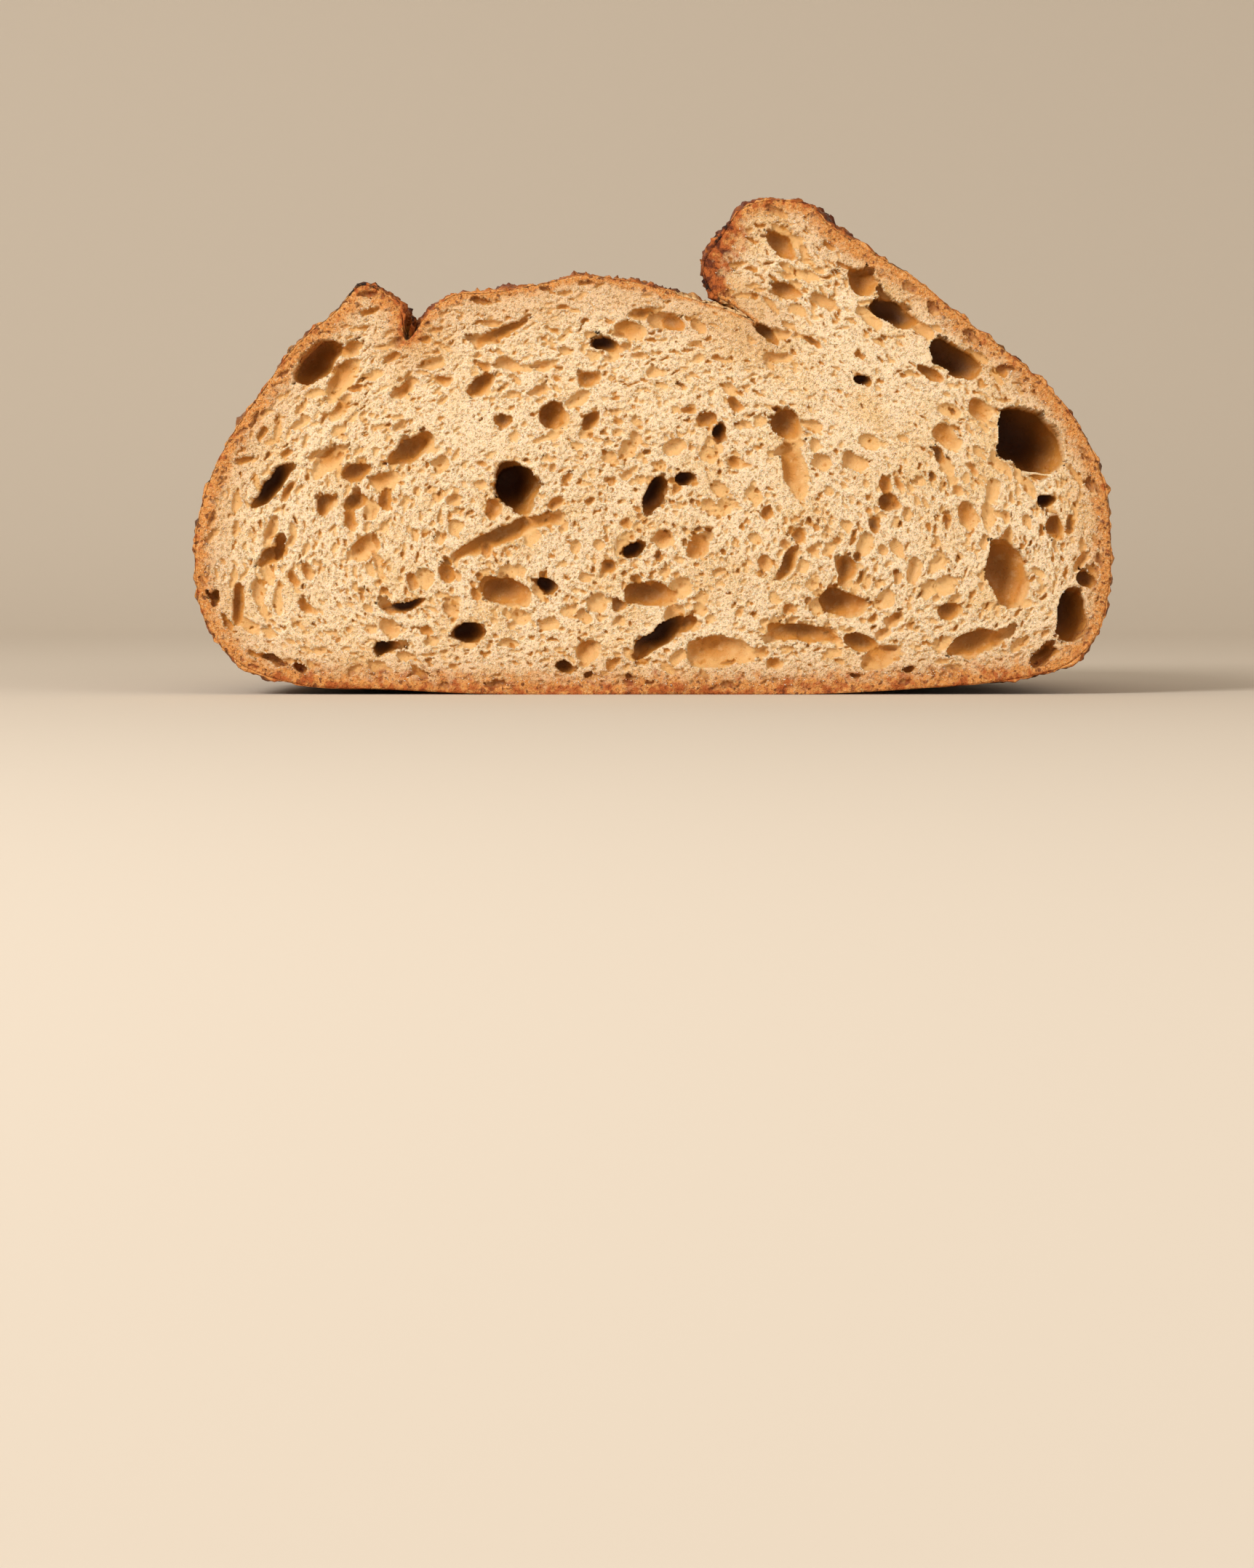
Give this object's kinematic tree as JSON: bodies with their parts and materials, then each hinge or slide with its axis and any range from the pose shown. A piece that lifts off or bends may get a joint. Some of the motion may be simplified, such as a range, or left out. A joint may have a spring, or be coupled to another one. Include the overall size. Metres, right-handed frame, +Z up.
{
  "type": "half sourdough loaf",
  "caption": "Half of an oval sourdough loaf, cut across the middle: open crumb on the flat cut face, domed crust with a lifted ear along the score, flat base.",
  "frame": {"origin": "under the middle of the loaf's bounding box, at the height of the surface that it lies on", "axes": "+X across the loaf, along the cut face; +Y from the cut face to the rounded end; +Z up"},
  "size_m": [0.16, 0.13, 0.086],
  "materials": {
    "crust": "baked crust, semi-gloss, blistered",
    "crumb": "open crumb, matt"
  },
  "bodies": {
    "root": {"half_loaf": "crust"}
  },
  "joints": []
}
